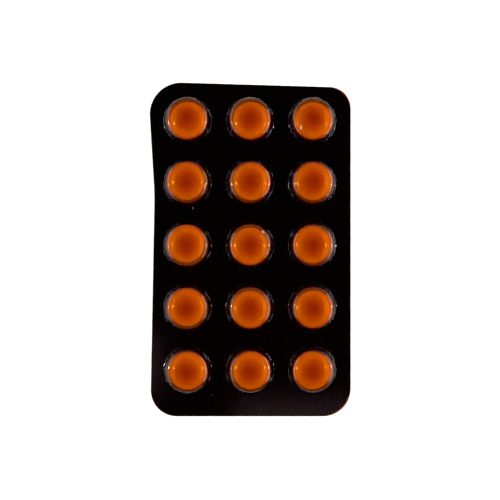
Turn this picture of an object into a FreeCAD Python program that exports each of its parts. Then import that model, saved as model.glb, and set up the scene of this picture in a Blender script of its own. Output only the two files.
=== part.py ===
import FreeCAD, Part
import math
import os

# Pill blister pack: a dark see-through film formed into pockets, a flat foil sealed to its back and
# one coated tablet loose in each pocket. Sizes are in millimetres, angles in degrees.
# X runs across the card, Y along it towards the end with the narrow margin, Z up through the pockets.
# The origin is at the middle of the card's outline, on the foil's underside.

# Tablet: two shallow round caps on a straight band
TABLET_DIAMETER = 9.5
TABLET_THICKNESS = 4.4
TABLET_CAP_HEIGHT = 1.45
TABLET_EDGE_RADIUS = 0.35

# Room for the tablet in its pocket
SEAT_GAP = 0.02
SIDE_CLEARANCE = 0.87
HEAD_CLEARANCE = 0.4

# Film: its flat web keeps the sheet's thickness, and the drawn pocket is thinner
FILM_THICKNESS = 0.25
WALL_THICKNESS = 0.12
SHOULDER_THICKNESS = 0.08
ROOF_THICKNESS = 0.18
WALL_DRAFT = 3.0
ROOF_DOME_RADIUS = 13.5
SHOULDER_RADIUS = 1.6
FOOT_RADIUS = 0.55

# Foil
FOIL_THICKNESS = 0.03

# Layout of the pockets: the webs are the flat strips left between two pocket walls
ROWS = 5
COLUMNS = 3
WEB_ACROSS = 4.23
WEB_ALONG = 4.23

# Flat margins from the outermost pocket walls to the card's edges
MARGIN_LEFT = 4.27
MARGIN_RIGHT = 4.04
MARGIN_TOP = 4.0
MARGIN_BOTTOM = 5.93

# The card is cut a little out of square: its top edge drops towards the right, its bottom edge much less
# so, and its left edge is pulled in to a shallow waist, most of the way back out again at its foot
TOP_EDGE_DROP = 1.3
BOTTOM_EDGE_DROP = 0.2
WAIST_DEPTH = 1.7
WAIST_BELOW_TOP = 28.4
WAIST_RADIUS = 60.0
FOOT_INSET = 0.64
CORNER_TOP_LEFT = 8.0
CORNER_TOP_RIGHT = 5.4
CORNER_BOTTOM_RIGHT = 7.0
CORNER_BOTTOM_LEFT = 6.6

# How each tablet has slid in its pocket, row by row from the top: right and up, as shares of the side
# clearance, then its tilt and the direction in which its low side points
TABLET_REST = [
    [(0.19, -0.58, 1.6, 250.0), (0.26, -0.54, 1.2, 285.0), (0.0, -0.55, 2.0, 275.0)],
    [(-0.29, 0.26, 1.4, 160.0), (0.29, 0.20, 1.0, 30.0), (0.06, 0.23, 0.8, 80.0)],
    [(-0.29, 0.44, 1.8, 120.0), (-0.15, -0.35, 1.3, 240.0), (-0.23, 0.15, 1.1, 150.0)],
    [(-0.12, 0.25, 1.5, 100.0), (-0.02, -0.42, 0.9, 265.0), (0.12, -0.35, 1.2, 310.0)],
    [(0.23, 0.15, 1.0, 35.0), (0.29, 0.17, 1.7, 25.0), (-0.26, 0.12, 1.4, 155.0)],
]

# Sizes that follow from the ones above: the pocket is drawn round the tablet
TABLET_RADIUS = TABLET_DIAMETER / 2
INNER_FOOT = TABLET_RADIUS + SIDE_CLEARANCE
OUTER_FOOT = INNER_FOOT + WALL_THICKNESS
INNER_DEPTH = SEAT_GAP + TABLET_THICKNESS + HEAD_CLEARANCE
PITCH_ACROSS = 2 * OUTER_FOOT + WEB_ACROSS
PITCH_ALONG = 2 * OUTER_FOOT + WEB_ALONG

UP = FreeCAD.Vector(0, 0, 1)
SAME_SIZE = 0.001


def rounded_outline(corners):
    """Closed wire through (x, y, radius) corners, with straight edges and tangent arcs."""
    arcs = []
    for index, (x, y, radius) in enumerate(corners):
        corner = FreeCAD.Vector(x, y, 0)
        before = FreeCAD.Vector(*corners[index - 1][:2], 0) - corner
        after = FreeCAD.Vector(*corners[(index + 1) % len(corners)][:2], 0) - corner
        before.normalize()
        after.normalize()
        half_angle = before.getAngle(after) / 2
        reach = radius / math.tan(half_angle)
        middle = before + after
        middle.normalize()
        centre = corner + middle * (radius / math.sin(half_angle))
        arcs.append(Part.Arc(corner + before * reach, centre - middle * radius, corner + after * reach))
    edges = []
    for arc, following in zip(arcs, arcs[1:] + arcs[:1]):
        edges.append(arc.toShape())
        edges.append(Part.LineSegment(arc.EndPoint, following.StartPoint).toShape())
    return Part.Wire(edges)


def card_outline():
    """The die-cut edge, measured from the middle of the pocket grid."""
    left = -(COLUMNS - 1) * PITCH_ACROSS / 2 - OUTER_FOOT - MARGIN_LEFT
    right = (COLUMNS - 1) * PITCH_ACROSS / 2 + OUTER_FOOT + MARGIN_RIGHT
    top = (ROWS - 1) * PITCH_ALONG / 2 + OUTER_FOOT + MARGIN_TOP
    bottom = -(ROWS - 1) * PITCH_ALONG / 2 - OUTER_FOOT - MARGIN_BOTTOM
    return rounded_outline([
        (left, top, CORNER_TOP_LEFT),
        (right, top - TOP_EDGE_DROP, CORNER_TOP_RIGHT),
        (right, bottom - BOTTOM_EDGE_DROP, CORNER_BOTTOM_RIGHT),
        (left + FOOT_INSET, bottom, CORNER_BOTTOM_LEFT),
        (left + WAIST_DEPTH, top - WAIST_BELOW_TOP, WAIST_RADIUS),
    ])


def dome_drop(dome_radius, distance):
    """How far a dome falls below its top at a distance from its axis."""
    return dome_radius - math.sqrt(dome_radius ** 2 - distance ** 2)


def radius_through(distance, drop):
    """Radius of the dome that falls by a drop at a distance from its axis."""
    return (distance ** 2 + drop ** 2) / (2 * drop)


def edges_at(shape, height, radius):
    """Full circles of one radius at one height."""
    real = [edge for edge in shape.Edges if not edge.Degenerated]
    circles = [edge for edge in real if isinstance(edge.Curve, Part.Circle)]
    level = [edge for edge in circles if abs(edge.Curve.Center.z - height) < SAME_SIZE]
    return [edge for edge in level if abs(edge.Curve.Radius - radius) < SAME_SIZE]


def pocket_form(foot, depth, dome_radius, shoulder_radius):
    """Solid of one pocket: a drafted wall, a rounded shoulder and a slightly domed roof."""
    lean = math.tan(math.radians(WALL_DRAFT))
    dome_centre = depth - dome_radius
    # The wall's line meets the dome's circle where square * z^2 - 2 * linear * z + constant is nil
    square = 1 + lean ** 2
    linear = foot * lean + dome_centre
    constant = foot ** 2 + dome_centre ** 2 - dome_radius ** 2
    wall_top = (linear + math.sqrt(linear ** 2 - square * constant)) / square
    rim = foot - wall_top * lean
    half_way = rim / 2
    foot_point = FreeCAD.Vector(foot, 0, 0)
    rim_point = FreeCAD.Vector(rim, 0, wall_top)
    roof_point = FreeCAD.Vector(half_way, 0, depth - dome_drop(dome_radius, half_way))
    top_point = FreeCAD.Vector(0, 0, depth)
    base_point = FreeCAD.Vector(0, 0, 0)
    profile = Part.Wire([
        Part.LineSegment(base_point, foot_point).toShape(),
        Part.LineSegment(foot_point, rim_point).toShape(),
        Part.Arc(rim_point, roof_point, top_point).toShape(),
        Part.LineSegment(top_point, base_point).toShape(),
    ])
    form = Part.Face(profile).revolve(base_point, UP, 360)
    return form.makeFillet(shoulder_radius, edges_at(form, wall_top, rim))


def pocket_centres(card_middle):
    """Pocket places by row and column, measured from the middle of the card."""
    centres = []
    for row in range(ROWS):
        y = ((ROWS - 1) / 2 - row) * PITCH_ALONG - card_middle.y
        centres.append([])
        for column in range(COLUMNS):
            x = (column - (COLUMNS - 1) / 2) * PITCH_ACROSS - card_middle.x
            centres[row].append(FreeCAD.Vector(x, y, 0))
    return centres


def forming_film(outline, centres):
    """The sealed web with its pockets, as one sheet drawn out of the flat film."""
    underside = UP * FOIL_THICKNESS
    outer_depth = INNER_DEPTH + ROOF_THICKNESS
    outer = pocket_form(OUTER_FOOT, outer_depth, ROOF_DOME_RADIUS, SHOULDER_RADIUS)
    inner_drop = dome_drop(ROOF_DOME_RADIUS, INNER_FOOT) + SHOULDER_THICKNESS - ROOF_THICKNESS
    inner_dome = radius_through(INNER_FOOT, inner_drop)
    inner = pocket_form(INNER_FOOT, INNER_DEPTH, inner_dome, SHOULDER_RADIUS - SHOULDER_THICKNESS)
    places = [centre + underside for row in centres for centre in row]
    web = Part.Face(outline).extrude(UP * FILM_THICKNESS)
    web.translate(underside)
    film = web.fuse([outer.translated(place) for place in places])
    web_top = FOIL_THICKNESS + FILM_THICKNESS
    foot_at_web_top = OUTER_FOOT - FILM_THICKNESS * math.tan(math.radians(WALL_DRAFT))
    film = film.makeFillet(FOOT_RADIUS, edges_at(film, web_top, foot_at_web_top))
    film = film.cut([inner.translated(place) for place in places])
    lip_radius = FOOT_RADIUS + FILM_THICKNESS
    film = film.makeFillet(lip_radius, edges_at(film, FOIL_THICKNESS, INNER_FOOT))
    return film.removeSplitter().Solids[0]


def lidding_foil(outline):
    """Flat foil with the film's outline."""
    return Part.Face(outline).extrude(UP * FOIL_THICKNESS)


def tablet():
    """One tablet about its own middle."""
    band_half = TABLET_THICKNESS / 2 - TABLET_CAP_HEIGHT
    cap_radius = radius_through(TABLET_RADIUS, TABLET_CAP_HEIGHT)
    half_way = TABLET_RADIUS / 2
    height_half_way = TABLET_THICKNESS / 2 - dome_drop(cap_radius, half_way)
    top = FreeCAD.Vector(0, 0, TABLET_THICKNESS / 2)
    upper_cap = FreeCAD.Vector(half_way, 0, height_half_way)
    upper_rim = FreeCAD.Vector(TABLET_RADIUS, 0, band_half)
    lower_rim = FreeCAD.Vector(TABLET_RADIUS, 0, -band_half)
    lower_cap = FreeCAD.Vector(half_way, 0, -height_half_way)
    bottom = FreeCAD.Vector(0, 0, -TABLET_THICKNESS / 2)
    profile = Part.Wire([
        Part.Arc(top, upper_cap, upper_rim).toShape(),
        Part.LineSegment(upper_rim, lower_rim).toShape(),
        Part.Arc(lower_rim, lower_cap, bottom).toShape(),
        Part.LineSegment(bottom, top).toShape(),
    ])
    body = Part.Face(profile).revolve(FreeCAD.Vector(0, 0, 0), UP, 360)
    rims = edges_at(body, band_half, TABLET_RADIUS) + edges_at(body, -band_half, TABLET_RADIUS)
    return body.makeFillet(TABLET_EDGE_RADIUS, rims)


def resting_tablet(body, pocket, right, up, tilt, low_side):
    """The tablet where it lies: its lower cap rests on the foil at any tilt."""
    cap_radius = radius_through(TABLET_RADIUS, TABLET_CAP_HEIGHT)
    middle_to_cap_centre = cap_radius - TABLET_THICKNESS / 2
    rise = cap_radius - middle_to_cap_centre * math.cos(math.radians(tilt))
    low_direction = FreeCAD.Vector(math.cos(math.radians(low_side)), math.sin(math.radians(low_side)), 0)
    slide = FreeCAD.Vector(right, up, 0) * SIDE_CLEARANCE
    seat = UP * (FOIL_THICKNESS + SEAT_GAP + rise)
    placed = body.copy()
    placed.rotate(FreeCAD.Vector(0, 0, 0), UP.cross(low_direction), tilt)
    placed.translate(pocket + slide + seat)
    return placed


os.makedirs("parts", exist_ok=True)
card_edge = card_outline()
card_middle = card_edge.BoundBox.Center
card_edge.translate(-card_middle)
pockets = pocket_centres(card_middle)
forming_film(card_edge, pockets).exportStep("parts/forming_film.step")
lidding_foil(card_edge).exportStep("parts/lidding_foil.step")
one_tablet = tablet()
for row, places in enumerate(pockets):
    rests = TABLET_REST[row % len(TABLET_REST)]
    for column, place in enumerate(places):
        placed_tablet = resting_tablet(one_tablet, place, *rests[column % len(rests)])
        placed_tablet.exportStep(f"parts/tablet_r{row + 1}c{column + 1}.step")
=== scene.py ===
import math
import bpy
import numpy
from mathutils import Matrix, Vector


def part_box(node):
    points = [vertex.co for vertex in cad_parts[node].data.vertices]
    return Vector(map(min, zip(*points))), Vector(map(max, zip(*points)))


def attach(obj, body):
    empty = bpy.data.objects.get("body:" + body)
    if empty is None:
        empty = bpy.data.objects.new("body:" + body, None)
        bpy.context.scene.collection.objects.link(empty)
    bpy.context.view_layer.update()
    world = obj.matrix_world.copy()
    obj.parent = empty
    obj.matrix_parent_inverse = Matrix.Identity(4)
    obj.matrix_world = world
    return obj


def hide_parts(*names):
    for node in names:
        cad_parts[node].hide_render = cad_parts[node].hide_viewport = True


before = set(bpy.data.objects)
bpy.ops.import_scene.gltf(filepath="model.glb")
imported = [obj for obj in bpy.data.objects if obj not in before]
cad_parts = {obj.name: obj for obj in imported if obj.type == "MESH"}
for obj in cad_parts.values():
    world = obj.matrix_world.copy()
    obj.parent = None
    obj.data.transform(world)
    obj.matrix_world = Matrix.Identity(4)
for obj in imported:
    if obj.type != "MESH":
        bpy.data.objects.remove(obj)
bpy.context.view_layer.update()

MM = 0.001

# Camera
# The photograph looks almost straight down on the card, from a little left of its middle: the tops of the
# right-hand pockets lean outwards.

VIEW_WIDTH = 126.25 * MM
camera_place = Vector((-6.0, 0.0, 240.0)) * MM
aim = Vector((-0.12, -0.06, 0.0)) * MM
forward = (aim - camera_place).normalized()
right = forward.cross(Vector((0, 1, 0))).normalized()
up = right.cross(forward)
camera = bpy.data.objects.new("camera", bpy.data.cameras.new("camera"))
camera.location = camera_place
camera.rotation_euler = Matrix((right, up, -forward)).transposed().to_euler()
camera.data.sensor_width = 36.0
camera.data.lens = camera.data.sensor_width * (aim - camera_place).length / VIEW_WIDTH
camera.data.clip_start = 0.01
bpy.context.scene.collection.objects.link(camera)
bpy.context.scene.camera = camera
bpy.context.scene.view_settings.view_transform = "Standard"

# Forming film
# One sheet of amber see-through rigid film, heat-formed into fifteen pockets: the web keeps the sheet's
# thickness, and the drawn walls and roofs are much thinner. It is sealed to the foil and die-cut with it.

PITCH = 15.71 * MM
COLUMNS = 3
ROWS = 5
OUTER_FOOT = 5.74 * MM
WALL_DRAFT = math.radians(3.0)
FOOT_RADIUS = 0.55 * MM
SHOULDER_RADIUS = 1.6 * MM
ROOF_DOME_RADIUS = 13.5 * MM
FILM_TOP = 0.28 * MM
FILM_UNDERSIDE = 0.05 * MM
FOOT_LEVEL = 0.03 * MM
ROOF_TOP = 5.03 * MM
ROOF_THICKNESS = 0.101 * MM
ROOF_THIN_RADIUS = 3.9 * MM
ROOF_THIN = 0.037 * MM
WALL_THICKNESS = 0.137 * MM
MOUTH_FLAT = 0.1 * MM
CUT_EDGE = 0.03 * MM
MERGE_DISTANCE = 0.002 * MM
AXIS_TOLERANCE = 0.0001 * MM

# Steps round a pocket and along its profile, the halvings that find where its shoulder meets its roof, and
# the steps of the shoulder between which the film thins
AROUND = 72
FOOT_STEPS = 8
WALL_STEPS = 3
SHOULDER_STEPS = 12
ROOF_STEPS = 12
HALVINGS = 50
THINNING_STARTS = 5.5
THINNING_ENDS = 9.5
ROOF_THINNING_POWER = 1.3

# The roofs sag a little: how far, over what distance it changes, and how it fades towards the shoulder
ROOF_SAG = 0.08 * MM
SAG_SCALE = 140.0
SAG_FALL_POWER = 4

# Flat margins from the outermost pocket walls to the card's edges, and how far the edges are out of square
MARGIN_LEFT = 4.27 * MM
MARGIN_RIGHT = 4.04 * MM
MARGIN_TOP = 4.0 * MM
MARGIN_BOTTOM = 5.93 * MM
TOP_EDGE_DROP = 1.3 * MM
BOTTOM_EDGE_DROP = 0.2 * MM
WAIST_DEPTH = 1.7 * MM
WAIST_BELOW_TOP = 28.4 * MM
WAIST_RADIUS = 60.0 * MM
FOOT_INSET = 0.64 * MM
CORNER_TOP_LEFT = 8.0 * MM
CORNER_TOP_RIGHT = 5.4 * MM
CORNER_BOTTOM_RIGHT = 7.0 * MM
CORNER_BOTTOM_LEFT = 6.6 * MM


def card_outline(inset, grid_middle, rounder=0.0):
    """The die-cut outline, clockwise from its top left corner, moved inwards by inset. The two right-hand
    corners can be cut rounder."""
    left = grid_middle.x - (COLUMNS - 1) / 2 * PITCH - OUTER_FOOT - MARGIN_LEFT
    right = grid_middle.x + (COLUMNS - 1) / 2 * PITCH + OUTER_FOOT + MARGIN_RIGHT
    top = grid_middle.y + (ROWS - 1) / 2 * PITCH + OUTER_FOOT + MARGIN_TOP
    bottom = grid_middle.y - (ROWS - 1) / 2 * PITCH - OUTER_FOOT - MARGIN_BOTTOM
    # The place of each corner, its radius and the number of its steps
    corners = [
        (Vector((left, top)), CORNER_TOP_LEFT, 20),
        (Vector((right, top - TOP_EDGE_DROP)), CORNER_TOP_RIGHT + rounder, 18),
        (Vector((right, bottom - BOTTOM_EDGE_DROP)), CORNER_BOTTOM_RIGHT + rounder, 18),
        (Vector((left + FOOT_INSET, bottom)), CORNER_BOTTOM_LEFT, 18),
        (Vector((left + WAIST_DEPTH, top - WAIST_BELOW_TOP)), WAIST_RADIUS, 6),
    ]
    points = []
    for index, (corner, radius, steps) in enumerate(corners):
        before = (corners[index - 1][0] - corner).normalized()
        after = (corners[(index + 1) % len(corners)][0] - corner).normalized()
        half_angle = before.angle(after) / 2
        turn = math.pi / 2 - half_angle
        middle = (before + after).normalized()
        centre = corner + middle * (radius / math.sin(half_angle))
        convex = before.x * after.y - before.y * after.x > 0
        reach = radius - inset if convex else radius + inset
        way = -1 if convex else 1
        for step in range(steps + 1):
            angle = math.atan2(-middle.y, -middle.x) + way * turn * (2 * step / steps - 1)
            points.append((centre.x + reach * math.cos(angle), centre.y + reach * math.sin(angle)))
    return points


# The frame's origin is the middle of the card's box, and the pocket grid lies a little off it
plain_x, plain_y = zip(*card_outline(0.0, Vector((0.0, 0.0, 0.0))))
grid_middle = Vector((-(min(plain_x) + max(plain_x)) / 2, -(min(plain_y) + max(plain_y)) / 2, 0.0))


def make_mesh(name, points, faces):
    """A mesh from its points and faces."""
    mesh = bpy.data.meshes.new(name)
    mesh.from_pydata(points, [], faces)
    mesh.update()
    return mesh


def cut_edge_strip(name, top, underside, ease, rounder=0.0):
    """The cut edge of a sheet: a band round the card with its two rims eased a little."""
    loops = [(ease, top), (0.0, top - ease), (0.0, underside + ease), (ease, underside)]
    points = [(x, y, height) for inset, height in loops for x, y in card_outline(inset, grid_middle, rounder)]
    count = len(points) // len(loops)
    faces = []
    for loop in range(len(loops) - 1):
        for here in range(count):
            following = (here + 1) % count
            low, high = (loop + 1) * count, loop * count
            faces.append((high + here, high + following, low + following, low + here))
    return make_mesh(name, points, faces)


def arc(centre, radius, start, end, steps):
    """Points on an arc from one angle to another, both ends included."""
    turns = [start + (end - start) * step / steps for step in range(steps + 1)]
    return [(centre[0] + radius * math.cos(t), centre[1] + radius * math.sin(t)) for t in turns]


def pocket_profiles():
    """Radius and height along the pocket's outer face, from its mouth up to its top, and along its inner
    face. The inner face lies inwards by the film's thickness, which falls from the web to the wall and grows
    again towards the middle of the roof, where the film was drawn least."""
    lean = math.tan(WALL_DRAFT)
    foot_height = FILM_TOP + FOOT_RADIUS
    tangent = foot_height - FOOT_RADIUS * math.sin(WALL_DRAFT)
    foot_centre = (
        OUTER_FOOT - (tangent - FOOT_LEVEL) * lean + FOOT_RADIUS * math.cos(WALL_DRAFT), foot_height)
    mouth = arc(foot_centre, FOOT_RADIUS, -math.pi / 2, -math.pi + WALL_DRAFT, FOOT_STEPS)
    # The shoulder's centre is one radius inside the wall's line and one radius under the dome
    dome_centre = ROOF_TOP - ROOF_DOME_RADIUS
    low, high = FILM_TOP, ROOF_TOP
    for _ in range(HALVINGS):
        height = (low + high) / 2
        inside = OUTER_FOOT - (height - FOOT_LEVEL) * lean - SHOULDER_RADIUS / math.cos(WALL_DRAFT)
        if math.hypot(inside, height - dome_centre) < ROOF_DOME_RADIUS - SHOULDER_RADIUS:
            low = height
        else:
            high = height
    rise = math.atan2(height - dome_centre, inside)
    shoulder = arc((inside, height), SHOULDER_RADIUS, WALL_DRAFT, rise, SHOULDER_STEPS)
    roof = arc((0.0, dome_centre), ROOF_DOME_RADIUS, rise, math.pi / 2, ROOF_STEPS)
    wall = [
        (mouth[-1][0] + (shoulder[0][0] - mouth[-1][0]) * step / WALL_STEPS,
         mouth[-1][1] + (shoulder[0][1] - mouth[-1][1]) * step / WALL_STEPS)
        for step in range(1, WALL_STEPS)
    ]
    outer = [(mouth[0][0] + MOUTH_FLAT, FILM_TOP)] + mouth + wall + shoulder + roof[1:]
    web = FILM_TOP - FILM_UNDERSIDE
    thickness = [web]
    for step in range(FOOT_STEPS + 1):
        thickness.append(web + (WALL_THICKNESS - web) * step / FOOT_STEPS)
    thickness += [WALL_THICKNESS] * len(wall)
    for step in range(SHOULDER_STEPS + 1):
        share = (THINNING_ENDS - step) / (THINNING_ENDS - THINNING_STARTS)
        drawn = min(max(share, 0.0), 1.0)
        thickness.append(ROOF_THIN + (WALL_THICKNESS - ROOF_THIN) * drawn)
    for radius, _ in roof[1:]:
        thinned = min(radius / ROOF_THIN_RADIUS, 1.0) ** ROOF_THINNING_POWER
        thickness.append(ROOF_THICKNESS - (ROOF_THICKNESS - ROOF_THIN) * thinned)
    inner = []
    for index, (radius, height) in enumerate(outer):
        before, after = outer[max(index - 1, 0)], outer[min(index + 1, len(outer) - 1)]
        way = Vector((after[0] - before[0], after[1] - before[1])).normalized()
        if index in (0, len(outer) - 1):
            way = Vector((-1.0, 0.0))
        inner.append((radius - way.y * thickness[index], height + way.x * thickness[index]))
    return outer, inner


def turned_mesh(name, profiles):
    """Surfaces turned about Z. A profile that goes upwards has its outer side away from the axis, and a point
    on the axis closes it."""
    points = []
    faces = []
    for profile in profiles:
        rings = []
        for radius, height in profile:
            if radius < AXIS_TOLERANCE:
                rings.append([len(points)] * AROUND)
                points.append((0.0, 0.0, height))
                continue
            rings.append(list(range(len(points), len(points) + AROUND)))
            for step in range(AROUND):
                angle = 2 * math.pi * step / AROUND
                points.append((radius * math.cos(angle), radius * math.sin(angle), height))
        for ring, following in zip(rings, rings[1:]):
            for here in range(AROUND):
                there = (here + 1) % AROUND
                corners = [ring[here], ring[there], following[there], following[here]]
                faces.append(list(dict.fromkeys(corners)))
    return make_mesh(name, points, faces)


outer_profile, inner_profile = pocket_profiles()
pocket_mesh = turned_mesh("pocket", [outer_profile, inner_profile[::-1]])
give = pocket_mesh.attributes.new("give", "FLOAT", "POINT")
for index, vertex in enumerate(pocket_mesh.vertices):
    share = math.hypot(vertex.co.x, vertex.co.y) / (OUTER_FOOT - SHOULDER_RADIUS)
    in_roof = vertex.co.z > ROOF_TOP / 2
    give.data[index].value = max(0.0, 1.0 - share ** SAG_FALL_POWER) if in_roof else 0.0
pocket_form = bpy.data.objects.new("pocket", pocket_mesh)


def add_node(tree, kind, links=None, **settings):
    """Adds a node. Settings are its properties, and links give its sockets a value or a node's output."""
    made = tree.nodes.new(kind)
    for name, value in settings.items():
        setattr(made, name, value)
    for socket, value in (links or {}).items():
        if isinstance(value, bpy.types.NodeSocket):
            tree.links.new(value, made.inputs[socket])
        else:
            made.inputs[socket].default_value = value
    return made


def shape_tree(name, sizes):
    """An empty geometry tree with a geometry socket at each end and named inputs for its sizes."""
    tree = bpy.data.node_groups.new(name, "GeometryNodeTree")
    tree.interface.new_socket("Geometry", in_out="OUTPUT", socket_type="NodeSocketGeometry")
    tree.interface.new_socket("Geometry", in_out="INPUT", socket_type="NodeSocketGeometry")
    for size, kind in sizes.items():
        tree.interface.new_socket(size, in_out="INPUT", socket_type=kind)
    return tree, add_node(tree, "NodeGroupInput").outputs, add_node(tree, "NodeGroupOutput").inputs


def grow(name, mesh, tree, values):
    """Runs a tree on a mesh and keeps the result as a plain mesh object."""
    start = bpy.data.objects.new(name + "_start", mesh)
    bpy.context.scene.collection.objects.link(start)
    modifier = start.modifiers.new(name, "NODES")
    modifier.node_group = tree
    sockets = {item.name: item.identifier for item in tree.interface.items_tree if item.in_out == "INPUT"}
    for size, value in values.items():
        modifier[sockets[size]] = value
    grown = bpy.data.meshes.new_from_object(start.evaluated_get(bpy.context.evaluated_depsgraph_get()))
    start.modifiers.clear()
    bpy.data.objects.remove(start)
    grown.name = name
    piece = bpy.data.objects.new(name, grown)
    bpy.context.scene.collection.objects.link(piece)
    return piece


def linear(hex_colour):
    """An sRGB hex colour as linear red, green, blue and alpha."""
    parts = [int(hex_colour[i:i + 2], 16) / 255 for i in (1, 3, 5)]
    return [p / 12.92 if p <= 0.04045 else ((p + 0.055) / 1.055) ** 2.4 for p in parts] + [1.0]


def new_material(name):
    """A material and its node tree, which is still empty."""
    material = bpy.data.materials.new(name)
    material.use_nodes = True
    material.node_tree.nodes.clear()
    return material, material.node_tree


def two_tones(tree, factor, start, end):
    """A ramp between two colours, each given with its place on the ramp."""
    ramp = add_node(tree, "ShaderNodeValToRGB", {0: factor})
    for element, (position, colour) in zip(ramp.color_ramp.elements, (start, end)):
        element.position = position
        element.color = colour
    return ramp.outputs["Color"]


# Amber rigid PVC film: calendered, so it is glossy, then heat-formed, which leaves it faintly wavy. Its dye
# absorbs blue and green first, so it goes from orange where it is thin to near black where it is thick.
FILM_IOR = 1.53
film_material, film_nodes = new_material("amber_rigid_pvc_film")
place = add_node(film_nodes, "ShaderNodeTexCoord").outputs["Object"]
waves = add_node(film_nodes, "ShaderNodeTexNoise", {"Vector": place, "Scale": 260.0, "Detail": 2.0})
rolled = add_node(film_nodes, "ShaderNodeBump", {
    "Height": waves.outputs["Fac"], "Strength": 0.018, "Distance": 0.00008})
side = add_node(film_nodes, "ShaderNodeNewGeometry").outputs["Backfacing"]
# A ray goes straight through the thin sheet, so both of its faces mirror as if met from the air
met_from_air = add_node(film_nodes, "ShaderNodeMapRange", {
    "Value": side, "To Min": FILM_IOR, "To Max": 1 / FILM_IOR})
mirror_share = add_node(film_nodes, "ShaderNodeFresnel", {
    "IOR": met_from_air.outputs[0], "Normal": rolled.outputs["Normal"]})
clear = add_node(film_nodes, "ShaderNodeBsdfTransparent")
gloss = add_node(film_nodes, "ShaderNodeBsdfAnisotropic", {
    "Color": linear("#FFFFFF"), "Roughness": 0.07, "Normal": rolled.outputs["Normal"]})
film_face = add_node(film_nodes, "ShaderNodeMixShader", {
    0: mirror_share.outputs[0], 1: clear.outputs[0], 2: gloss.outputs[0]})
dye = add_node(film_nodes, "ShaderNodeVolumeAbsorption", {
    "Color": linear("#EFD800"), "Density": 41000.0})
add_node(film_nodes, "ShaderNodeOutputMaterial", {
    "Surface": film_face.outputs[0], "Volume": dye.outputs[0]})

film_tree, given, result = shape_tree("formed_film", {
    "Pocket": "NodeSocketObject", "Columns": "NodeSocketInt", "Rows": "NodeSocketInt",
    "Pitch": "NodeSocketFloat", "Grid Middle": "NodeSocketVector", "Around": "NodeSocketInt",
    "Outer Mouth": "NodeSocketFloat", "Inner Mouth": "NodeSocketFloat", "Web Top": "NodeSocketFloat",
    "Web Underside": "NodeSocketFloat", "Roof Sag": "NodeSocketFloat", "Sag Scale": "NodeSocketFloat",
    "Material": "NodeSocketMaterial",
})


def pocket_grid(tree, given):
    """One point for each pocket."""
    gaps = [
        add_node(tree, "ShaderNodeMath", {0: given[count], 1: 1.0}, operation="SUBTRACT").outputs[0]
        for count in ("Columns", "Rows")
    ]
    spans = [
        add_node(tree, "ShaderNodeMath", {0: gap, 1: given["Pitch"]}, operation="MULTIPLY").outputs[0]
        for gap in gaps
    ]
    grid = add_node(tree, "GeometryNodeMeshGrid", {
        "Size X": spans[0], "Size Y": spans[1], "Vertices X": given["Columns"], "Vertices Y": given["Rows"]})
    moved = add_node(tree, "GeometryNodeTransform", {
        "Geometry": grid.outputs["Mesh"], "Translation": given["Grid Middle"]})
    return moved.outputs[0]


def sheet_face(tree, given, places, mouth, level, upper):
    """Fills one side of a sheet inside its cut edge. If a mouth is named, each pocket leaves a hole."""
    edge_ends = add_node(tree, "GeometryNodeInputMeshEdgeNeighbors").outputs["Face Count"]
    open_edge = add_node(
        tree, "FunctionNodeCompare", {2: edge_ends, 3: 1}, data_type="INT", operation="EQUAL")
    position = add_node(tree, "GeometryNodeInputPosition").outputs[0]
    height = add_node(tree, "ShaderNodeSeparateXYZ", {0: position})
    middle = add_node(
        tree, "ShaderNodeMath", {0: given["Web Top"], 1: given["Web Underside"]}, operation="ADD")
    half = add_node(tree, "ShaderNodeMath", {0: middle.outputs[0], 1: 0.5}, operation="MULTIPLY")
    on_side = add_node(tree, "FunctionNodeCompare", {0: height.outputs["Z"], 1: half.outputs[0]},
                       data_type="FLOAT", operation="GREATER_THAN" if upper else "LESS_THAN")
    both = add_node(tree, "FunctionNodeBooleanMath", {0: open_edge.outputs[0], 1: on_side.outputs[0]})
    outline = add_node(tree, "GeometryNodeMeshToCurve", {
        "Mesh": given["Geometry"], "Selection": both.outputs[0]})
    curves = [outline.outputs[0]]
    if mouth:
        ring = add_node(tree, "GeometryNodeCurvePrimitiveCircle", {
            "Resolution": given["Around"], "Radius": given[mouth]})
        rings = add_node(tree, "GeometryNodeInstanceOnPoints", {
            "Points": places, "Instance": ring.outputs[0]})
        curves.append(add_node(tree, "GeometryNodeRealizeInstances", {0: rings.outputs[0]}).outputs[0])
    together = add_node(tree, "GeometryNodeJoinGeometry")
    for curve in reversed(curves):
        tree.links.new(curve, together.inputs[0])
    filled = add_node(tree, "GeometryNodeFillCurve", {0: together.outputs[0]})
    lift = add_node(tree, "ShaderNodeCombineXYZ", {"Z": level})
    raised = add_node(tree, "GeometryNodeTransform", {
        "Geometry": filled.outputs[0], "Translation": lift.outputs[0]}).outputs[0]
    if upper:
        return raised
    return add_node(tree, "GeometryNodeFlipFaces", {0: raised}).outputs[0]


film_places = pocket_grid(film_tree, given)
one_pocket = add_node(film_tree, "GeometryNodeObjectInfo", {"Object": given["Pocket"]})
pockets = add_node(film_tree, "GeometryNodeInstanceOnPoints", {
    "Points": film_places, "Instance": one_pocket.outputs["Geometry"]})
real_pockets = add_node(film_tree, "GeometryNodeRealizeInstances", {0: pockets.outputs[0]})
smooth_pockets = add_node(film_tree, "GeometryNodeSetShadeSmooth", {
    "Geometry": real_pockets.outputs[0], "Shade Smooth": True})
web_faces = [
    sheet_face(film_tree, given, film_places, "Outer Mouth", given["Web Top"], True),
    sheet_face(film_tree, given, film_places, "Inner Mouth", given["Web Underside"], False),
]
flat_faces = add_node(film_tree, "GeometryNodeJoinGeometry")
for part in [given["Geometry"]] + web_faces:
    film_tree.links.new(part, flat_faces.inputs[0])
plain_faces = add_node(film_tree, "GeometryNodeSetShadeSmooth", {
    "Geometry": flat_faces.outputs[0], "Shade Smooth": False})
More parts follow.
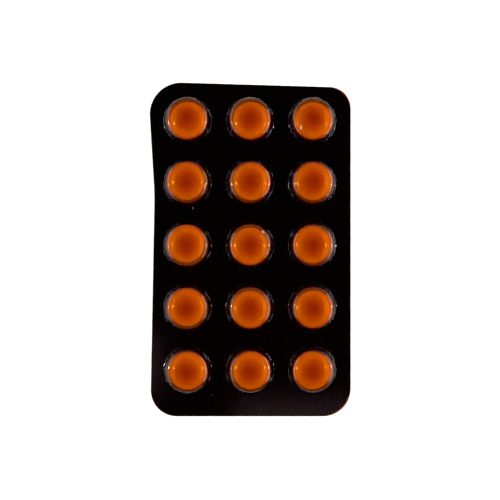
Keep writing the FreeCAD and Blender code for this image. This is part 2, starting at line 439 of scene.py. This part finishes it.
whole_film = add_node(film_tree, "GeometryNodeJoinGeometry")
for part in (smooth_pockets.outputs[0], plain_faces.outputs[0]):
    film_tree.links.new(part, whole_film.inputs[0])
closed_film = add_node(film_tree, "GeometryNodeMergeByDistance", {
    "Geometry": whole_film.outputs[0], "Distance": MERGE_DISTANCE})
# Each roof sags a little differently, and both of its faces sag together
over_card = add_node(film_tree, "ShaderNodeVectorMath", {
    0: add_node(film_tree, "GeometryNodeInputPosition").outputs[0], 1: (1.0, 1.0, 0.0)}, operation="MULTIPLY")
sag_field = add_node(film_tree, "ShaderNodeTexNoise", {
    "Vector": over_card.outputs[0], "Scale": given["Sag Scale"], "Detail": 0.0})
give_here = add_node(film_tree, "GeometryNodeInputNamedAttribute", {"Name": "give"}, data_type="FLOAT")
sag_share = add_node(film_tree, "ShaderNodeMath", {
    0: sag_field.outputs[0], 1: give_here.outputs["Attribute"]}, operation="MULTIPLY")
sag = add_node(
    film_tree, "ShaderNodeMath", {0: sag_share.outputs[0], 1: given["Roof Sag"]}, operation="MULTIPLY")
down = add_node(film_tree, "ShaderNodeMath", {0: sag.outputs[0], 1: -1.0}, operation="MULTIPLY")
offset = add_node(film_tree, "ShaderNodeCombineXYZ", {"Z": down.outputs[0]})
sagged = add_node(film_tree, "GeometryNodeSetPosition", {
    "Geometry": closed_film.outputs[0], "Offset": offset.outputs[0]})
last = add_node(film_tree, "GeometryNodeRealizeInstances", {0: sagged.outputs[0]})
dressed = add_node(film_tree, "GeometryNodeSetMaterial", {
    "Geometry": last.outputs[0], "Material": given["Material"]})
film_tree.links.new(dressed.outputs[0], result["Geometry"])

film = grow("film", cut_edge_strip("film_edge", FILM_TOP, FILM_UNDERSIDE, CUT_EDGE), film_tree, {
    "Pocket": pocket_form, "Columns": COLUMNS, "Rows": ROWS, "Pitch": PITCH,
    "Grid Middle": grid_middle, "Around": AROUND, "Outer Mouth": outer_profile[0][0],
    "Inner Mouth": inner_profile[0][0], "Web Top": FILM_TOP, "Web Underside": FILM_UNDERSIDE,
    "Roof Sag": ROOF_SAG, "Sag Scale": SAG_SCALE, "Material": film_material,
})
bpy.data.objects.remove(pocket_form)
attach(film, "root")
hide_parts("forming_film")

# Dust and painted highlights
# The pack has been handled: fine specks of grey lint and one hair-thin fibre lie on the web, and paler crumbs
# stick to the shoulders of some pockets. Two brighter flecks on pocket shoulders are painted highlights.


def matt_dust_and_highlight(name, darker, lighter):
    """A matt material that goes from one colour to another over a fraction of a millimetre."""
    material, nodes = new_material(name)
    spot = add_node(nodes, "ShaderNodeTexCoord").outputs["Object"]
    patches = add_node(nodes, "ShaderNodeTexNoise", {"Vector": spot, "Scale": 3000.0, "Detail": 2.0})
    shade = two_tones(nodes, patches.outputs["Fac"], (0.35, linear(darker)), (0.65, linear(lighter)))
    matt = add_node(nodes, "ShaderNodeBsdfDiffuse", {"Color": shade})
    add_node(nodes, "ShaderNodeOutputMaterial", {"Surface": matt.outputs[0]})
    return material


# Lint and packing dust: matt grey fibres and crumbs, too small to cast a shadow that shows
lint_material = matt_dust_and_highlight("grey_lint", "#484542", "#625F5B")

# Crumbs of tablet coat and paper: matt, pale and warmer than the lint
crumb_material = matt_dust_and_highlight("pale_crumb", "#8A7262", "#AA9282")

# Painted highlights: two matt flecks on pocket shoulders, brighter and more orange than the crumbs
painted_highlight_material = matt_dust_and_highlight("painted_highlight_fleck", "#C4875D", "#DC9D74")

# In millimetres, like the places of the specks
SPECK_HALF_THICKNESS = 0.02
LINT_LEVEL = 0.3


def specks(name, places, material):
    """Flat six-sided specks. Each is given by its middle, its length and its width in millimetres, and by
    three angles in degrees: the way it points, how far the surface under it leans and which way it leans."""
    corners = [(0.5, 0.0), (0.2, 0.5), (-0.3, 0.4), (-0.5, 0.0), (-0.2, -0.5), (0.3, -0.35)]
    points = []
    faces = []
    for x, y, z, length, width, turn, lean, lean_to in places:
        tip = Matrix.Rotation(math.radians(lean_to), 3, "Z") @ Matrix.Rotation(math.radians(lean), 3, "Y")
        turned = tip @ Matrix.Rotation(math.radians(turn - lean_to), 3, "Z")
        first = len(points)
        for side in (1, -1):
            middle = turned @ Vector((0.0, 0.0, side * SPECK_HALF_THICKNESS))
            points.append((Vector((x, y, z)) + middle) * MM)
        for across, aside in corners:
            points.append((Vector((x, y, z)) + turned @ Vector((across * length, aside * width, 0.0))) * MM)
        rim = first + 2
        for corner in range(len(corners)):
            here, there = rim + corner, rim + (corner + 1) % len(corners)
            faces += [(first, here, there), (first + 1, there, here)]
    speck = bpy.data.objects.new(name, make_mesh(name, points, faces))
    speck.data.materials.append(material)
    bpy.context.scene.collection.objects.link(speck)
    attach(speck, "root")


specks("web_lint", [(x, y, LINT_LEVEL, length, width, turn, 0.0, 0.0) for x, y, length, width, turn in (
    (-14.48, 10.47, 0.7, 0.34, 110.0), (-15.29, 10.49, 0.13, 0.08, 60.0), (-10.11, 10.72, 0.15, 0.08, 20.0),
    (-7.89, 5.45, 0.15, 0.09, 80.0), (-1.86, 8.6, 0.16, 0.09, 30.0), (-23.84, 9.53, 0.22, 0.14, 0.0),
    (-16.66, 40.85, 0.16, 0.1, 80.0), (6.07, 29.86, 0.15, 0.08, 40.0), (6.32, 12.69, 0.2, 0.11, 120.0),
    (-15.4, -5.74, 0.18, 0.1, 70.0), (-16.15, -7.26, 0.15, 0.08, 10.0), (-9.84, -21.9, 0.24, 0.06, 35.0),
    (6.82, -33.26, 0.15, 0.08, 100.0), (-9.59, -36.55, 0.3, 0.14, 95.0), (-21.6, 22.2, 3.1, 0.012, -55.0),
)], lint_material)
specks("pocket_crumbs", [
    (3.01, 4.43, 4.27, 1.0, 0.75, 150.0, 22.0, 43.0), (3.11, 13.48, 4.2, 0.5, 0.32, 90.0, 24.0, -46.0),
    (3.86, -0.87, 4.29, 0.5, 0.3, 60.0, 20.0, -28.0), (16.58, 37.18, 4.2, 0.4, 0.25, 40.0, 26.0, 77.0),
], crumb_material)
# The two painted highlights on pocket shoulders, as matt pale orange flecks
specks("pocket_flakes", [
    (12.43, 30.35, 4.5, 1.2, 0.6, 90.0, 17.0, -144.5), (-11.44, 15.52, 4.25, 1.3, 0.3, 100.0, 22.0, -17.0),
], painted_highlight_material)

# Tablets
# Fifteen pressed tablets with a sprayed orange film coat: two shallow caps on a straight band. Each lies
# loose in its pocket, a little tilted and to one side, where its CAD solid lies.

TABLET_RADIUS = 4.75 * MM
TABLET_THICKNESS = 4.4 * MM
TABLET_CAP_HEIGHT = 1.45 * MM
TABLET_EDGE_RADIUS = 0.35 * MM
TABLET_EDGE_STEPS = 7
TABLET_CAP_STEPS = 12

cap_radius = (TABLET_RADIUS ** 2 + TABLET_CAP_HEIGHT ** 2) / (2 * TABLET_CAP_HEIGHT)
cap_centre = TABLET_THICKNESS / 2 - cap_radius
edge_inside = TABLET_RADIUS - TABLET_EDGE_RADIUS
edge_height = cap_centre + math.sqrt((cap_radius - TABLET_EDGE_RADIUS) ** 2 - edge_inside ** 2)
edge_turn = math.atan2(edge_height - cap_centre, edge_inside)
upper_edge = arc((edge_inside, edge_height), TABLET_EDGE_RADIUS, 0.0, edge_turn, TABLET_EDGE_STEPS)
upper_cap = arc((0.0, cap_centre), cap_radius, edge_turn, math.pi / 2, TABLET_CAP_STEPS)
upper_half = [(TABLET_RADIUS, 0.0)] + upper_edge + upper_cap[1:]
lower_half = [(radius, -height) for radius, height in reversed(upper_half[1:])]
tablet_form = bpy.data.objects.new("tablet", turned_mesh("tablet", [lower_half + upper_half]))

tablet_names = [f"tablet_r{row + 1}c{column + 1}" for row in range(ROWS) for column in range(COLUMNS)]


def solid_axis(name):
    """The direction a tablet's caps face: the one that most of its CAD solid's surface faces."""
    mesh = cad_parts[name].data
    spread = numpy.zeros((3, 3))
    for face in mesh.polygons:
        normal = numpy.array(face.normal)
        spread += face.area * numpy.outer(normal, normal)
    axis = Vector(numpy.linalg.eigh(spread)[1][:, 2])
    return axis if axis.z > 0 else -axis


tablet_places = make_mesh("tablet_places", [
    sum((Vector(corner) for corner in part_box(name)), Vector()) / 2 for name in tablet_names], [])
turns = tablet_places.attributes.new("turn", "FLOAT_VECTOR", "POINT")
for index, name in enumerate(tablet_names):
    turns.data[index].vector = Vector((0, 0, 1)).rotation_difference(solid_axis(name)).to_euler()

# Film-coated tablet: a thin glossy orange coat sprayed on a pressed core, with a faint orange peel
tablet_material, coat_nodes = new_material("orange_film_coat")
spot = add_node(coat_nodes, "ShaderNodeTexCoord").outputs["Object"]
mottle = add_node(coat_nodes, "ShaderNodeTexNoise", {"Vector": spot, "Scale": 420.0, "Detail": 3.0})
shade = two_tones(coat_nodes, mottle.outputs["Fac"], (0.3, linear("#F28D0F")), (0.7, linear("#FC991B")))
peel = add_node(coat_nodes, "ShaderNodeTexNoise", {"Vector": spot, "Scale": 1600.0, "Detail": 2.0})
peel_bump = add_node(coat_nodes, "ShaderNodeBump", {
    "Height": peel.outputs["Fac"], "Strength": 0.08, "Distance": 0.00002})
coat = add_node(coat_nodes, "ShaderNodeBsdfPrincipled", {
    "Base Color": shade, "Roughness": 0.08, "IOR": 1.55, "Normal": peel_bump.outputs["Normal"]})
add_node(coat_nodes, "ShaderNodeOutputMaterial", {"Surface": coat.outputs[0]})

tablet_tree, given, result = shape_tree("loose_tablets", {
    "Tablet": "NodeSocketObject", "Material": "NodeSocketMaterial"})
one_tablet = add_node(tablet_tree, "GeometryNodeObjectInfo", {"Object": given["Tablet"]})
turn_here = add_node(
    tablet_tree, "GeometryNodeInputNamedAttribute", {"Name": "turn"}, data_type="FLOAT_VECTOR")
turned = add_node(tablet_tree, "FunctionNodeEulerToRotation", {0: turn_here.outputs["Attribute"]})
laid = add_node(tablet_tree, "GeometryNodeInstanceOnPoints", {
    "Points": given["Geometry"], "Instance": one_tablet.outputs["Geometry"], "Rotation": turned.outputs[0]})
real_tablets = add_node(tablet_tree, "GeometryNodeRealizeInstances", {0: laid.outputs[0]})
round_tablets = add_node(tablet_tree, "GeometryNodeSetShadeSmooth", {"Geometry": real_tablets.outputs[0]})
coated = add_node(tablet_tree, "GeometryNodeSetMaterial", {
    "Geometry": round_tablets.outputs[0], "Material": given["Material"]})
tablet_tree.links.new(coated.outputs[0], result["Geometry"])

tablets = grow("tablets", tablet_places, tablet_tree, {"Tablet": tablet_form, "Material": tablet_material})
bpy.data.objects.remove(tablet_form)
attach(tablets, "root")
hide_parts(*tablet_names)

# Lidding foil
# One sheet of hard aluminium foil, heat-sealed to the film's underside between knurled plates: the seal
# leaves rows of small square pads in its back, everywhere but under the pockets. At the card's right-hand
# corners it stops a hair inside the film, so the film's rim glows amber there.

FOIL_TOP = 0.045 * MM
FOIL_BACK = 0.03 * MM
SEAL_PITCH = 1.0 * MM
SEAL_PAD = 0.8 * MM
SEAL_PAD_END = 0.5 * MM
UNSEALED_RADIUS = 5.6 * MM
SEAL_EDGE = 0.7 * MM
FOIL_ROUNDER = 0.75 * MM
FOIL_EDGE_EASE = 0.003 * MM

# A pad is made only where a ray straight down meets the seal's outline, which is put this far below for it
SEAL_AREA_LEVEL = -0.5

# Aluminium foil: rolled bright, with fine streaks along the card and soft dents from handling
foil_material, foil_nodes = new_material("rolled_aluminium_foil")
here = add_node(foil_nodes, "ShaderNodeTexCoord").outputs["Object"]
along = add_node(foil_nodes, "ShaderNodeMapping", {"Vector": here, "Scale": (9000.0, 300.0, 1.0)})
streaks = add_node(foil_nodes, "ShaderNodeTexNoise", {
    "Vector": along.outputs[0], "Scale": 1.0, "Detail": 2.0})
rough = add_node(foil_nodes, "ShaderNodeMapRange", {
    "Value": streaks.outputs["Fac"], "From Min": 0.3, "From Max": 0.7, "To Min": 0.24, "To Max": 0.29})
dents = add_node(foil_nodes, "ShaderNodeTexNoise", {"Vector": here, "Scale": 220.0, "Detail": 2.0})
dent_bump = add_node(foil_nodes, "ShaderNodeBump", {
    "Height": dents.outputs["Fac"], "Strength": 0.35, "Distance": 0.0002})
streak_bump = add_node(foil_nodes, "ShaderNodeBump", {
    "Height": streaks.outputs["Fac"], "Strength": 0.2, "Distance": 0.000006,
    "Normal": dent_bump.outputs["Normal"]})
metal = add_node(foil_nodes, "ShaderNodeBsdfPrincipled", {
    "Base Color": linear("#E6E7E8"), "Metallic": 1.0, "Roughness": rough.outputs[0],
    "Normal": streak_bump.outputs["Normal"]})
add_node(foil_nodes, "ShaderNodeOutputMaterial", {"Surface": metal.outputs[0]})

# Heat-seal lacquer on the foil's inner side: a thin milky coat, with a warm tint that is painted orange
# bounce light from the tablets. It shows only inside the pockets
lacquer_material, lacquer_nodes = new_material("heat_seal_lacquer_with_painted_bounce_light")
inside = add_node(lacquer_nodes, "ShaderNodeTexCoord").outputs["Object"]
clouds = add_node(lacquer_nodes, "ShaderNodeTexNoise", {"Vector": inside, "Scale": 900.0, "Detail": 3.0})
dull = add_node(lacquer_nodes, "ShaderNodeMapRange", {
    "Value": clouds.outputs["Fac"], "From Min": 0.3, "From Max": 0.7, "To Min": 0.35, "To Max": 0.5})
# The warm base colour is painted bounce light from the orange tablets
lacquer = add_node(lacquer_nodes, "ShaderNodeBsdfPrincipled", {
    "Base Color": linear("#E6B594"), "Metallic": 0.4, "Roughness": dull.outputs[0]})
add_node(lacquer_nodes, "ShaderNodeOutputMaterial", {"Surface": lacquer.outputs[0]})

foil_tree, given, result = shape_tree("sealed_foil", {
    "Columns": "NodeSocketInt", "Rows": "NodeSocketInt", "Pitch": "NodeSocketFloat",
    "Grid Middle": "NodeSocketVector", "Web Top": "NodeSocketFloat", "Web Underside": "NodeSocketFloat",
    "Seal Width": "NodeSocketFloat", "Seal Length": "NodeSocketFloat",
    "Pads Across": "NodeSocketInt", "Pads Along": "NodeSocketInt", "Pad": "NodeSocketFloat",
    "Pad End": "NodeSocketFloat", "Unsealed Radius": "NodeSocketFloat", "Seal Area": "NodeSocketObject",
    "Around": "NodeSocketInt", "Material": "NodeSocketMaterial", "Lacquer": "NodeSocketMaterial",
})
foil_places = pocket_grid(foil_tree, given)
disc = add_node(foil_tree, "GeometryNodeMeshCircle", {
    "Vertices": given["Around"], "Radius": given["Unsealed Radius"]}, fill_type="NGON")
discs = add_node(foil_tree, "GeometryNodeInstanceOnPoints", {
    "Points": foil_places, "Instance": disc.outputs[0]})
real_discs = add_node(foil_tree, "GeometryNodeRealizeInstances", {0: discs.outputs[0]})
disc_lift = add_node(foil_tree, "ShaderNodeCombineXYZ", {"Z": given["Web Top"]})
lifted_discs = add_node(foil_tree, "GeometryNodeTransform", {
    "Geometry": real_discs.outputs[0], "Translation": disc_lift.outputs[0]})
lacquered = add_node(foil_tree, "GeometryNodeSetMaterial", {
    "Geometry": lifted_discs.outputs[0], "Material": given["Lacquer"]})
foil_sides = [
    sheet_face(foil_tree, given, foil_places, "Unsealed Radius", given["Web Top"], True),
    sheet_face(foil_tree, given, foil_places, None, given["Web Underside"], False),
]
pad_grid = add_node(foil_tree, "GeometryNodeMeshGrid", {
    "Size X": given["Seal Width"], "Size Y": given["Seal Length"],
    "Vertices X": given["Pads Across"], "Vertices Y": given["Pads Along"]})
slanted = add_node(foil_tree, "GeometryNodeTransform", {
    "Geometry": pad_grid.outputs["Mesh"], "Rotation": (0.0, 0.0, math.radians(45.0))})
near_pocket = add_node(foil_tree, "GeometryNodeProximity", {0: foil_places}, target_element="POINTS")
from_pocket = near_pocket.outputs["Distance"]
unsealed = add_node(foil_tree, "FunctionNodeCompare", {
    0: from_pocket, 1: given["Unsealed Radius"]}, data_type="FLOAT", operation="LESS_THAN")
seal_area = add_node(foil_tree, "GeometryNodeObjectInfo", {"Object": given["Seal Area"]})
over_area = add_node(foil_tree, "GeometryNodeRaycast", {
    "Target Geometry": seal_area.outputs["Geometry"], "Ray Direction": (0.0, 0.0, -1.0), "Ray Length": 1.0})
off_area = add_node(foil_tree, "FunctionNodeBooleanMath", {0: over_area.outputs["Is Hit"]}, operation="NOT")
no_pad = add_node(foil_tree, "FunctionNodeBooleanMath", {
    0: unsealed.outputs[0], 1: off_area.outputs[0]}, operation="OR")
pad_points = add_node(foil_tree, "GeometryNodeDeleteGeometry", {
    "Geometry": slanted.outputs[0], "Selection": no_pad.outputs[0]}, domain="POINT")
pad = add_node(foil_tree, "GeometryNodeMeshCone", {
    "Vertices": 4, "Radius Top": given["Pad"], "Radius Bottom": given["Pad End"],
    "Depth": given["Web Underside"]})
pads = add_node(foil_tree, "GeometryNodeInstanceOnPoints", {
    "Points": pad_points.outputs[0], "Instance": pad.outputs["Mesh"]})
whole_foil = add_node(foil_tree, "GeometryNodeJoinGeometry")
for part in [given["Geometry"], pads.outputs[0]] + foil_sides:
    foil_tree.links.new(part, whole_foil.inputs[0])
real_foil = add_node(foil_tree, "GeometryNodeRealizeInstances", {0: whole_foil.outputs[0]})
bright_foil = add_node(foil_tree, "GeometryNodeSetMaterial", {
    "Geometry": real_foil.outputs[0], "Material": given["Material"]})
both_finishes = add_node(foil_tree, "GeometryNodeJoinGeometry")
for part in (bright_foil.outputs[0], lacquered.outputs[0]):
    foil_tree.links.new(part, both_finishes.inputs[0])
closed_foil = add_node(foil_tree, "GeometryNodeMergeByDistance", {
    "Geometry": both_finishes.outputs[0], "Distance": MERGE_DISTANCE})
flat_foil = add_node(foil_tree, "GeometryNodeSetShadeSmooth", {
    "Geometry": closed_foil.outputs[0], "Shade Smooth": False})
foil_tree.links.new(flat_foil.outputs[0], result["Geometry"])

seal_outline = [(x, y, SEAL_AREA_LEVEL) for x, y in card_outline(SEAL_EDGE, grid_middle)]
seal_mesh = make_mesh("seal_area", seal_outline, [range(len(seal_outline))])
seal_form = bpy.data.objects.new("seal_area", seal_mesh)
pad_count = int((max(plain_y) - min(plain_y)) * math.sqrt(2) / SEAL_PITCH)
foil_edge = cut_edge_strip("foil_edge", FOIL_TOP, FOIL_BACK, FOIL_EDGE_EASE, FOIL_ROUNDER)
foil = grow("foil", foil_edge, foil_tree, {
    "Columns": COLUMNS, "Rows": ROWS, "Pitch": PITCH, "Grid Middle": grid_middle,
    "Web Top": FOIL_TOP, "Web Underside": FOIL_BACK,
    "Seal Width": (pad_count - 1) * SEAL_PITCH, "Seal Length": (pad_count - 1) * SEAL_PITCH,
    "Pads Across": pad_count, "Pads Along": pad_count, "Pad": SEAL_PAD / math.sqrt(2),
    "Pad End": SEAL_PAD_END / math.sqrt(2), "Unsealed Radius": UNSEALED_RADIUS,
    "Around": AROUND, "Seal Area": seal_form, "Material": foil_material, "Lacquer": lacquer_material,
})
bpy.data.objects.remove(seal_form)
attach(foil, "root")
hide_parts("lidding_foil")

# Studio
# A white floor that keeps the card's shadow, a pale surround that is dark overhead, two long soft lamps
# low at the sides, two small bright ones higher up and three fill lamps.

# White background paper: matt, and pure white to the camera only, so its glow lights nothing
floor_material, floor_nodes = new_material("white_paper_floor")
floor_paper = add_node(floor_nodes, "ShaderNodeBsdfDiffuse", {"Color": linear("#EDEDED")})
seen = add_node(floor_nodes, "ShaderNodeLightPath").outputs["Is Camera Ray"]
floor_spot = add_node(floor_nodes, "ShaderNodeTexCoord").outputs["Object"]
from_card = add_node(floor_nodes, "ShaderNodeVectorMath", {0: floor_spot}, operation="LENGTH")
far_glow = add_node(floor_nodes, "ShaderNodeMapRange", {
    "Value": from_card.outputs["Value"], "From Min": 0.06, "From Max": 0.2, "To Min": 0.35, "To Max": 1.0})
glow = add_node(floor_nodes, "ShaderNodeMath", {0: seen, 1: far_glow.outputs[0]}, operation="MULTIPLY")
floor_glow = add_node(floor_nodes, "ShaderNodeEmission", {"Color": (1, 1, 1, 1), "Strength": glow.outputs[0]})
floor_face = add_node(floor_nodes, "ShaderNodeAddShader", {
    0: floor_paper.outputs[0], 1: floor_glow.outputs[0]})
add_node(floor_nodes, "ShaderNodeOutputMaterial", {"Surface": floor_face.outputs[0]})
reach = 1.2
floor_level = -0.01 * MM
floor = bpy.data.objects.new("floor", make_mesh("floor", [
    (-reach, -reach, floor_level), (reach, -reach, floor_level), (reach, reach, floor_level),
    (-reach, reach, floor_level)], [(0, 1, 2, 3)]))
floor.data.materials.append(floor_material)
bpy.context.scene.collection.objects.link(floor)

world = bpy.data.worlds.new("studio")
bpy.context.scene.world = world
world.use_nodes = True
world_nodes = world.node_tree
world_nodes.nodes.clear()
direction = add_node(world_nodes, "ShaderNodeTexCoord").outputs["Generated"]
directions = add_node(world_nodes, "ShaderNodeSeparateXYZ", {0: direction}).outputs
surround = two_tones(
    world_nodes, directions["Z"], (0.05, (0.6, 0.6, 0.6, 1.0)), (0.6, (0.012, 0.012, 0.014, 1.0)))
is_seen = add_node(world_nodes, "ShaderNodeLightPath").outputs["Is Camera Ray"]
# The room behind the card is bright, and the photographer's side is dark
from_behind = add_node(world_nodes, "ShaderNodeMapRange", {
    "Value": directions["Y"], "From Min": -0.6, "From Max": 0.6, "To Min": 0.15, "To Max": 1.0})
one_sided = add_node(world_nodes, "ShaderNodeVectorMath", {
    0: surround, "Scale": from_behind.outputs[0]}, operation="SCALE")
slopes = {
    way: add_node(world_nodes, "ShaderNodeMath", {0: directions[way], 1: directions["Z"]}, operation="DIVIDE")
    for way in ("X", "Y")
}


def add_sheen(light, strength, limits):
    """Adds a faint plum patch to the light around the card. Each limit is a way, the slope from the vertical
    at which the patch starts or ends, and the slope at which it is full."""
    for way, edge, full in limits:
        part = add_node(world_nodes, "ShaderNodeMapRange", {
            "Value": slopes[way].outputs[0], "From Min": edge, "From Max": full, "To Max": strength},
            interpolation_type="SMOOTHSTEP")
        strength = part.outputs[0]
    tint = add_node(world_nodes, "ShaderNodeVectorMath", {
        0: (1.0, 0.64, 0.77), "Scale": strength}, operation="SCALE")
    return add_node(world_nodes, "ShaderNodeVectorMath", {0: light, 1: tint.outputs[0]}).outputs[0]


# Pale things in the dark part of the room show as faint sheens along the film's bottom and left edges
light = add_sheen(one_sided.outputs[0], 0.42, [
    ("X", -0.002, 0.026), ("X", 0.16, 0.13), ("Y", -0.147, -0.179), ("Y", -0.192, -0.179)])
light = add_sheen(light, 0.3, [
    ("X", -0.066, -0.076), ("X", -0.1, -0.085), ("Y", -0.08, -0.1), ("Y", -0.17, -0.13)])
backdrop = add_node(world_nodes, "ShaderNodeMix", {
    0: is_seen, 6: light, 7: (1.0, 1.0, 1.0, 1.0)}, data_type="RGBA")
air = add_node(world_nodes, "ShaderNodeBackground", {"Color": backdrop.outputs[2], "Strength": 1.0})
add_node(world_nodes, "ShaderNodeOutputWorld", {"Surface": air.outputs[0]})


def lamp(name, azimuth, elevation, distance, width, height, radiance, shape):
    """A flat lamp that faces the card. Azimuth 0 is the card's right, and angles are in degrees."""
    light = bpy.data.lights.new(name, "AREA")
    light.shape = shape
    light.size = width
    light.size_y = height
    area = math.pi * width * height / 4 if shape == "ELLIPSE" else width * height
    light.energy = radiance * math.pi * area
    around, above = math.radians(azimuth), math.radians(elevation)
    way = Vector((math.cos(around) * math.cos(above), math.sin(around) * math.cos(above), math.sin(above)))
    hung = bpy.data.objects.new(name, light)
    hung.location = way * distance
    hung.rotation_euler = (-way).to_track_quat("-Z", "Y").to_euler()
    hung.visible_camera = False
    bpy.context.scene.collection.objects.link(hung)
    return hung


lamp("soft_left", 180.0, 31.0, 0.6, 0.84, 0.3, 1.7, "RECTANGLE")
lamp("soft_right", 0.0, 31.0, 0.6, 0.84, 0.3, 2.6, "RECTANGLE")
lamp("bright_left", 180.0, 39.0, 0.5, 0.07, 0.042, 46.0, "ELLIPSE")
lamp("bright_right", 0.0, 39.0, 0.5, 0.07, 0.042, 30.0, "ELLIPSE")
# These three light the colours only, and nothing glossy mirrors them
fill_lamps = [
    lamp("overhead", 90.0, 89.9, 0.9, 0.5, 0.5, 5.6, "RECTANGLE"),
    lamp("fill_left", 180.0, 20.0, 0.7, 0.8, 0.3, 2.6, "RECTANGLE"),
    lamp("fill_right", 0.0, 20.0, 0.7, 0.8, 0.3, 4.4, "RECTANGLE"),
]
for fill_lamp in fill_lamps:
    fill_lamp.visible_glossy = False
